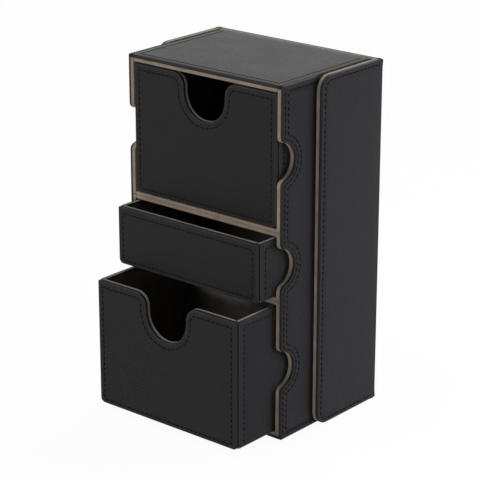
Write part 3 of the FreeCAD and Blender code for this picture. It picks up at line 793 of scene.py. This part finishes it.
# %% Softened copies of CAD leather
def softened(name, node, body, radius, cuts=(), groove=None, border=None):
    """A copy of a CAD node with rounded edges and leather coordinates. `cuts` are extra edge loops, as
    (axis, millimetres). `groove` says how deep a point is pressed in, and `border` how far it is from
    the sheet's edge."""
    shape = bmesh.new()
    shape.from_mesh(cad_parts[node].data)
    bmesh.ops.remove_doubles(shape, verts=shape.verts, dist=2e-6)
    bmesh.ops.dissolve_limit(shape, angle_limit=math.radians(1), verts=shape.verts, edges=shape.edges)
    sharp = [e for e in shape.edges if e.is_manifold and e.calc_face_angle() > math.radians(35)
             and e.is_convex]
    bmesh.ops.bevel(shape, geom=sharp, offset=radius * MM, segments=3, profile=0.5,
                    affect="EDGES", clamp_overlap=True)
    for axis, at in cuts:
        normal = Vector([float(i == axis) for i in range(3)])
        bmesh.ops.bisect_plane(shape, geom=shape.verts[:] + shape.edges[:] + shape.faces[:],
                               plane_co=normal * at * MM, plane_no=normal, dist=1e-6)
    shape.normal_update()
    moves = [(v, groove(v.co / MM, v.normal) if groove else 0.0) for v in shape.verts]
    for vert, deep in moves:
        vert.co -= vert.normal * deep * MM
    bmesh.ops.triangulate(shape, faces=[f for f in shape.faces if len(f.verts) > 4])
    mesh = bpy.data.meshes.new(name)
    shape.to_mesh(mesh)
    shape.free()
    # Points pressed into a groove get painted shade.
    put_vectors(mesh, "leather_state", "POINT", [(SEWN_SHADE * (deep > 0), 0.0, 0.0) for _, deep in moves])
    flat = np.zeros((len(mesh.loops), 3))
    for face in mesh.polygons:
        axis = int(np.argmax(np.abs(face.normal)))
        first, second = ((1, 2), (0, 2), (0, 1))[axis]
        turn = -1 if axis == 0 else 1  # keeps the grain's slant the same as on the sides of the case
        for corner in face.loop_indices:
            point = mesh.vertices[mesh.loops[corner].vertex_index].co / MM
            from_edge = border(point) if border else FAR_FROM_EDGE
            flat[corner] = (turn * point[first], point[second], from_edge)
    put_vectors(mesh, "leather_mm", "CORNER", flat)
    stand_for(shown(name, mesh, LEATHER), node, body)


softened("case_underside", "case_bottom_leather", "case", 0.2)

# %% [markdown]
# The leather round a drawer has a sewing row 3.6 mm below its rim and a short column beside the front.
# Each row lies in a groove. Extra edge loops give the groove points to move, and points on the loop
# in the middle are pressed in along their own normals.

# %% Leather round the drawers
RIM_ROW, FRONT_COLUMN = 3.6, 3.2
ROUND_RIM_ROW, ROUND_COLUMN = (-0.5, 0.0, 0.5, 1.2), (-1.0, -0.5, 0.0, 0.5)  # where the edge loops go
for level in LEVELS:
    low, high = box_mm(f"{level}_drawer_wrap_leather")
    rim, column = high[2] - RIM_ROW, low[1] + FRONT_COLUMN

    # Points in a sewn groove are pressed in, and get painted shade.
    def pressed_and_shaded(point, normal):
        outer = point.x * normal.x > 10 or (point.y > (low[1] + high[1]) / 2 and normal.y > 0.3)
        in_row = abs(point.z - rim) < 0.01 and point.y > column - 0.01
        in_column = abs(point.y - column) < 0.01 and point.z < rim + 0.01 and abs(normal.x) > 0.7
        return GROOVE_DEPTH if outer and (in_row or in_column) else 0.0

    def from_edge(point):
        return max(0.0, min(high[2] - point.z, point.y - low[1] + 0.6))

    loops = [(2, rim + d) for d in ROUND_RIM_ROW] + [(1, column + d) for d in ROUND_COLUMN]
    softened(f"{level}_drawer_wrap", f"{level}_drawer_wrap_leather", f"{level}_drawer", 0.25, loops,
             pressed_and_shaded, from_edge)
    rows = [np.linspace((column, rim), (high[1] - 2.0, rim), 60),
            np.linspace((column, low[2] + 2.5), (column, rim), 60)]
    for name, sign in HANDS:
        on_wall = facing(0, high[0] if sign > 0 else low[0], sign)
        sew(f"{level}_drawer_{name}_thread", f"{level}_drawer", rows, -GROOVE_DEPTH, on_wall)
    behind = np.linspace((low[0] + 2.0, rim), (high[0] - 2.0, rim), 90)
    sew(f"{level}_drawer_rear_thread", f"{level}_drawer", [behind], -GROOVE_DEPTH, facing(1, high[1]))

# %% [markdown]
# ## Rims of the drawers
#
# The lining's cloth turns over the upper edge of a thin inner board, and shows as a pale line round
# the drawer's mouth. CAD has only the cloth's own thickness there, so the turned edge is a piece of
# its own. A rounded section is carried along the rim: along each wall, and down through the scoop.

# %% Rims of the drawers
RIM_WIDTH, RIM_PROUD, RIM_DEEP, CLOTH_THICK = 1.5, 0.06, 1.2, 0.4
BEHIND_GROOVE, FRONT_LIP = 0.75, 0.9  # the front rim starts behind the glue groove and reaches inward


def turned_edge(path, inward, down, width=RIM_WIDTH):
    """A closed strip: at each point of the path a rounded section, `width` wide and RIM_DEEP deep."""
    section = [(0.0, 0.25), (0.08, 0.07), (0.25, 0.0), (width - 0.35, 0.0), (width - 0.1, 0.1),
               (width, 0.35), (width, RIM_DEEP), (0.0, RIM_DEEP)]
    down = np.broadcast_to(down, np.shape(path))
    verts = [p + np.array(inward) * u + d * v for p, d in zip(path, down) for u, v in section]
    return verts, tube(len(path), len(section))


for level in LEVELS:
    front_low, front_high = box_mm(f"{level}_drawer_front_leather")
    low, high = box_mm(f"{level}_drawer_lining")
    outer, rear = (far - CLOTH_THICK + RIM_WIDTH for far in high[:2])
    up = high[2] + RIM_PROUD
    walls = (((-outer, low[1], up), (-outer, rear, up), (1.0, 0.0, 0.0)),
             ((outer, low[1], up), (outer, rear, up), (-1.0, 0.0, 0.0)),
             ((-outer, rear, up), (outer, rear, up), (0.0, -1.0, 0.0)))
    strips = [turned_edge(np.linspace(start, end, 24), inward, (0.0, 0.0, -1.0))
              for start, end, inward in walls]
    size = front_high - front_low
    outline = front_outline(size[0], size[2], level != "middle")
    upper = (np.abs(outline[:, 0]) < outer) & (outline[:, 1] > 5)
    normal = outward(outline)[0][upper]
    line = outline[upper] + normal * RIM_PROUD
    path = [facing(1, front_high[1], -1, front_low[2])(a, b, BEHIND_GROOVE) for a, b in line]
    down = np.insert(-normal, 1, 0.0, axis=1)
    strips.append(turned_edge(np.array(path), (0.0, 1.0, 0.0), down, BEHIND_GROOVE + FRONT_LIP))
    verts, faces = [], []
    for points, quads in strips:
        faces += [tuple(i + len(verts) for i in quad) for quad in quads]
        verts += points
    rim = finish_mesh(f"{level}_drawer_lining_rim", verts, faces, DRAWER_CLOTH, {})
    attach(rim, f"{level}_drawer")
    print(rim.name, len(verts), "points")

# %% [markdown]
# ## The cover
#
# The cover's back panel and its two flaps are boards of their own. Their leather is one sheet on the
# real cover, so at the hinges the panels' skins simply end, without turning down, and a fold of bare
# leather joins them.

# %% Flaps and back of the cover
COVER_SEWING, FLAP_CORNER = 2.6, 8.0


def by_top_or_bottom(a, b):
    """Accepts the parts of a row that run along the top and the bottom."""
    return not 3 < b < TOP_Z - 3


for name, sign in HANDS:
    low, high = box_mm(f"{name}_flap_leather")
    front, rear, thick = low[1], high[1], high[0] - low[0]
    points = arc((front + FLAP_CORNER, FLAP_CORNER), FLAP_CORNER, 180, 270)
    points += [(rear, 0.0), (rear, TOP_Z)]
    points += arc((front + FLAP_CORNER, TOP_Z - FLAP_CORNER), FLAP_CORNER, 90, 180)
    outline = closed_outline(points)
    turned = (outline[:, 0] < rear - 0.01).astype(float)
    on_flap = facing(0, low[0] if sign > 0 else high[0], sign)
    # No row runs beside the hinge.
    row = (outline, COVER_SEWING, lambda a, b: a < rear - 3.2 or by_top_or_bottom(a, b))
    leather_panel(f"{name}_flap_cover", f"{name}_flap_leather", f"{name}_flap", outline, thick, on_flap,
                  [row], turned, mirror=-1)
    sew(f"{name}_flap_thread", f"{name}_flap", sewing_line(*row), thick - GROOVE_DEPTH, on_flap)

low, high = box_mm("cover_back_leather")
outline = closed_outline([(low[0], 0.0), (high[0], 0.0), (high[0], TOP_Z), (low[0], TOP_Z)])
turned = ((outline[:, 0] > low[0] + 0.01) & (outline[:, 0] < high[0] - 0.01)).astype(float)
thick, on_back = high[1] - low[1], facing(1, low[1])
row = (outline, COVER_SEWING, by_top_or_bottom)
leather_panel("cover_back_cover", "cover_back_leather", "cover_back", outline, thick, on_back, [row],
              turned)
sew("cover_back_thread", "cover_back", sewing_line(*row), thick - GROOVE_DEPTH, on_back)

# %% [markdown]
# ## The leather folds
#
# Each fold is a strip of leather round the corner, from the back panel's edge to the flap's. A rigid
# strip would tear away as the flap opens; this one is built in place and rides on neither body. The
# strip flares a little near its ends, where no board holds the leather in.

# %% Leather folds
FLARE, FLARE_LENGTH = 0.4, 7.0
FOLD_GAP = 0.2     # mm of bare leather beyond the round part, on each side
FOLD_STEP = 0.35   # mm of sheet from one point round the fold to the next
FOLD_EDGE = 2.6    # mm from the sheet's edge, as far as the grain is concerned
NEAR_END = (0.0, 0.1, 0.25, 0.5, 0.8, 1.5, 2.5, 4.0, 6.0, 8.0)  # mm, dense where the end is rounded
HEIGHTS = [*NEAR_END, *np.linspace(12, TOP_Z - 12, 24), *(TOP_Z - d for d in reversed(NEAR_END))]


def fold(name, sign):
    """A strip of leather round the corner, from the back panel's edge to the flap's."""
    low, high = box_mm(f"cover_{name}_fold")
    radius = (high[0] - low[0]) / 2
    x, y = centre = (abs(low[0] + high[0]) / 2, (low[1] + high[1]) / 2)
    reach = radius + FOLD_GAP
    path = [((x - reach, y), 90), *((centre, t) for t in np.linspace(90, 0, 9)), ((x, y - reach), 0)]
    verts, uv = [], []
    for z in HEIGHTS:
        end = min(z, TOP_Z - z)
        flare = FLARE * max(0.0, 1 - end / FLARE_LENGTH) ** 2
        # The ends are rounded like the rolled edges of the panels beside them.
        rolled = EDGE_ROLL * (1 - math.sqrt(1 - max(0.0, 1 - end / EDGE_ROLL) ** 2))
        outside = max(radius - rolled, radius - LEATHER_THICK + 0.05)
        flare *= min(1.0, end / EDGE_ROLL)
        # A ring of points for each height: there along the outside, and back along the inside.
        steps = list(enumerate(path))
        for way, far in ((steps, outside), (steps[::-1], radius - LEATHER_THICK)):
            for step, ((cx, cy), angle) in way:
                out = far + flare * math.sin(math.pi * step / (len(path) - 1))
                t = math.radians(angle)
                verts.append((sign * (cx + out * math.cos(t)), cy + out * math.sin(t), z))
                uv.append((-sign * step * FOLD_STEP, z, FOLD_EDGE))
    count = 2 * len(path)
    faces = tube(len(HEIGHTS), count)[:-2]
    for first in (0, len(verts) - count):  # a thin crescent closes each end, as a row of quads
        faces += [(first + i, first + i + 1, first + count - i - 2, first + count - i - 1)
                  for i in range(len(path) - 1)]
    made = finish_mesh(f"cover_{name}_leather_fold", verts, faces, LEATHER,
                       {"leather_mm": uv, "leather_state": np.zeros((len(verts), 3))})
    end = (sign * (x + radius) * MM, (y - reach) * MM, 0)
    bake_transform(made)
    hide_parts(f"cover_{name}_fold")
    print(made.name, len(verts), "points")


for name, sign in HANDS:
    fold(name, sign)

# %% [markdown]
# ## CAD pieces that stay
#
# The microfibre-covered boards and the linings are the right shape already. They get their material
# and two modifiers: Weld joins the points that the import left doubled, and Bevel rounds the edges.
# A modifier leaves the mesh underneath as it was.

# %% Materials and edges of the CAD pieces
def cover_with(node, material, radius):
    """Give a CAD node its material and, where the radius isn't 0, rounded edges."""
    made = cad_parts[node]
    made.data.materials.clear()
    made.data.materials.append(material)
    if radius:
        weld = made.modifiers.new("weld", "WELD")
        weld.merge_threshold = 2e-6
        bevel = made.modifiers.new("rounding", "BEVEL")
        bevel.width, bevel.segments = radius * MM, 3
        bevel.limit_method, bevel.angle_limit = "ANGLE", math.radians(35)
        bevel.use_clamp_overlap = True


# The first row whose words are in a node's name holds. The last row, with no words, takes the rest.
# The leather rolls over the top board's bare side edges, so that board is rounded as well.
FINISHES = (("magnets", NICKEL, 0.0), ("_cell_", MICROFIBRE, 0.6), ("drawer_lining", DRAWER_CLOTH, 0.12),
            ("_lining", MICROFIBRE, 0.35), ("case_top_board", BOARD, 0.58), ("", BOARD, 0.0))
counts = {}
for node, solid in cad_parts.items():
    if not solid.hide_render:
        _, material, radius = next(row for row in FINISHES if row[0] in node)
        cover_with(node, material, radius)
        counts[material.name] = counts.get(material.name, 0) + 1
print(counts)

# %% [markdown]
# ## Floor, light and camera
#
# A black object shows its shape by what it mirrors. Film mirrors little of what stands in front of it
# and a lot of what it meets at a slant, so bright surroundings leave the fronts dark and turn the top
# and every ledge pale. Light Path tells the kinds of ray apart: the camera and reflections see a white
# studio, while the soft light that falls on the object is weaker.

# %% Floor and world
WHITE = (1, 1, 1, 1)
FLOOR_REACH = 6.0    # metres to each side
PLAIN_WHITE = 0.95   # share of the floor that the camera sees as plain white; the rest holds shadow
SOFT_DAYLIGHT = 0.1  # strength of the surroundings where they light the object


def seen_rays(tree):
    """1 for the rays that show the surroundings: the camera's own, and those mirrored or let through."""
    ray = add(tree, "LightPath").outputs
    seen = add(tree, "Math", [ray["Is Camera Ray"], ray["Is Glossy Ray"]], operation="MAXIMUM")
    return add(tree, "Math", [seen, ray["Is Transmission Ray"]], operation="MAXIMUM")


def studio_floor():
    """Pale grey studio paper, matt. The eye reads it as white with a light shadow under the box."""
    material, tree = new_material("studio_paper_matt_pale_grey")
    spot = add(tree, "TexCoord").outputs["Object"]
    faint = add(tree, "TexNoise", {"Vector": spot, "Scale": patches(330)})
    tone = add(tree, "Mix", {0: faint, 6: colour("#b9b9b9"), 7: colour("#c2c2c2")}, data_type="RGBA")
    paper = add(tree, "BsdfPrincipled", {"Base Color": tone.outputs[2], "Roughness": 0.9})
    white = add(tree, "Emission", {"Color": WHITE, "Strength": 1.0})
    share = add(tree, "Math", [seen_rays(tree), PLAIN_WHITE], operation="MULTIPLY")
    add(tree, "OutputMaterial", {"Surface": add(tree, "MixShader", [share, paper, white])})
    return material


plane = bpy.data.meshes.new("floor")
corners = [(x * FLOOR_REACH, y * FLOOR_REACH, 0) for x, y in ((-1, -1), (1, -1), (1, 1), (-1, 1))]
plane.from_pydata(corners, [], [(0, 1, 2, 3)])
plane.materials.append(studio_floor())
floor = bpy.data.objects.new("floor", plane)
bpy.context.scene.collection.objects.link(floor)
floor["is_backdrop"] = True

world = bpy.data.worlds.new("studio")
bpy.context.scene.world = world
world.use_nodes = True
tree = world.node_tree
tree.nodes.clear()
strength = add(tree, "MapRange", {"Value": seen_rays(tree), "To Min": SOFT_DAYLIGHT, "To Max": 1.0})
add(tree, "OutputWorld", {"Surface": add(tree, "Background", {"Color": WHITE, "Strength": strength})})
print("floor and world ready")

# %% Lights
MIDDLE = (0.0, 0.0, 0.1)


def soft_light(name, place, size, power, tint="#ffffff", tall=None):
    """An area light that faces the middle of the box, square unless `tall` gives its height."""
    data = bpy.data.lights.new(name, "AREA")
    data.shape, data.size, data.size_y, data.energy = "RECTANGLE", size, tall or size, power
    data.color = colour(tint)[:3]
    made = bpy.data.objects.new(name, data)
    made.location = place
    made.rotation_euler = (Vector(MIDDLE) - Vector(place)).to_track_quat("-Z", "Y").to_euler()
    bpy.context.scene.collection.objects.link(made)
    return made


soft_light("front_left", (-0.95, -1.15, 0.7), 0.55, 3.2)
soft_light("front", (-0.36, -0.72, 0.62), 0.45, 3.4)
soft_light("low_front", (0.3, -1.2, 0.06), 0.5, 8.2, tall=0.1)
soft_light("overhead", (-0.15, -0.25, 1.3), 0.4, 8)
beside = soft_light("behind_right", (0.42, 0.36, 0.13), 0.3, 6.9, "#f4f7ff")
beside.visible_glossy = False  # so near, its mirror image would lie as a bright patch on the flap
soft_light("behind_left", (-0.9, 1.1, 0.75), 1.3, 3.8)
soft_light("high_behind", (0.1, 0.95, 1.3), 0.9, 19.5)
print("seven lights")

# %% Camera
YAW, PITCH, ROLL = (math.radians(a) for a in (40.216, 19.465, 0.027))
FOCAL_PIXELS, FRAME_PIXELS = 1953.386, 480  # the focal length and the frame's width, on one scale
SENSOR = 36  # mm
back = Vector((math.sin(YAW) * math.cos(PITCH), -math.cos(YAW) * math.cos(PITCH), math.sin(PITCH)))
right = Vector((0, 0, 1)).cross(back).normalized()
up = back.cross(right)
right, up = (right * math.cos(ROLL) + up * math.sin(ROLL), up * math.cos(ROLL) - right * math.sin(ROLL))
data = bpy.data.cameras.new("camera")
data.lens, data.sensor_width = FOCAL_PIXELS / FRAME_PIXELS * SENSOR, SENSOR
data.clip_start, data.clip_end = 0.05, 50
camera = bpy.data.objects.new("camera", data)
camera.matrix_world = Matrix((right, up, back)).transposed().to_4x4()
camera.location = (0.667272, -0.797386, 0.461522)
bpy.context.scene.collection.objects.link(camera)
bpy.context.scene.camera = camera
bpy.context.scene.view_settings.view_transform = "Standard"
print("lens", round(data.lens, 1), "mm")

# %% Check the sizes and finish
seen_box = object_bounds()
sizes = {"cad": [list(cad_box[0]), list(cad_box[1])], "visual": [list(seen_box[0]), list(seen_box[1])]}
print({name: [round(h - l, 4) for l, h in zip(*pair)] for name, pair in sizes.items()})
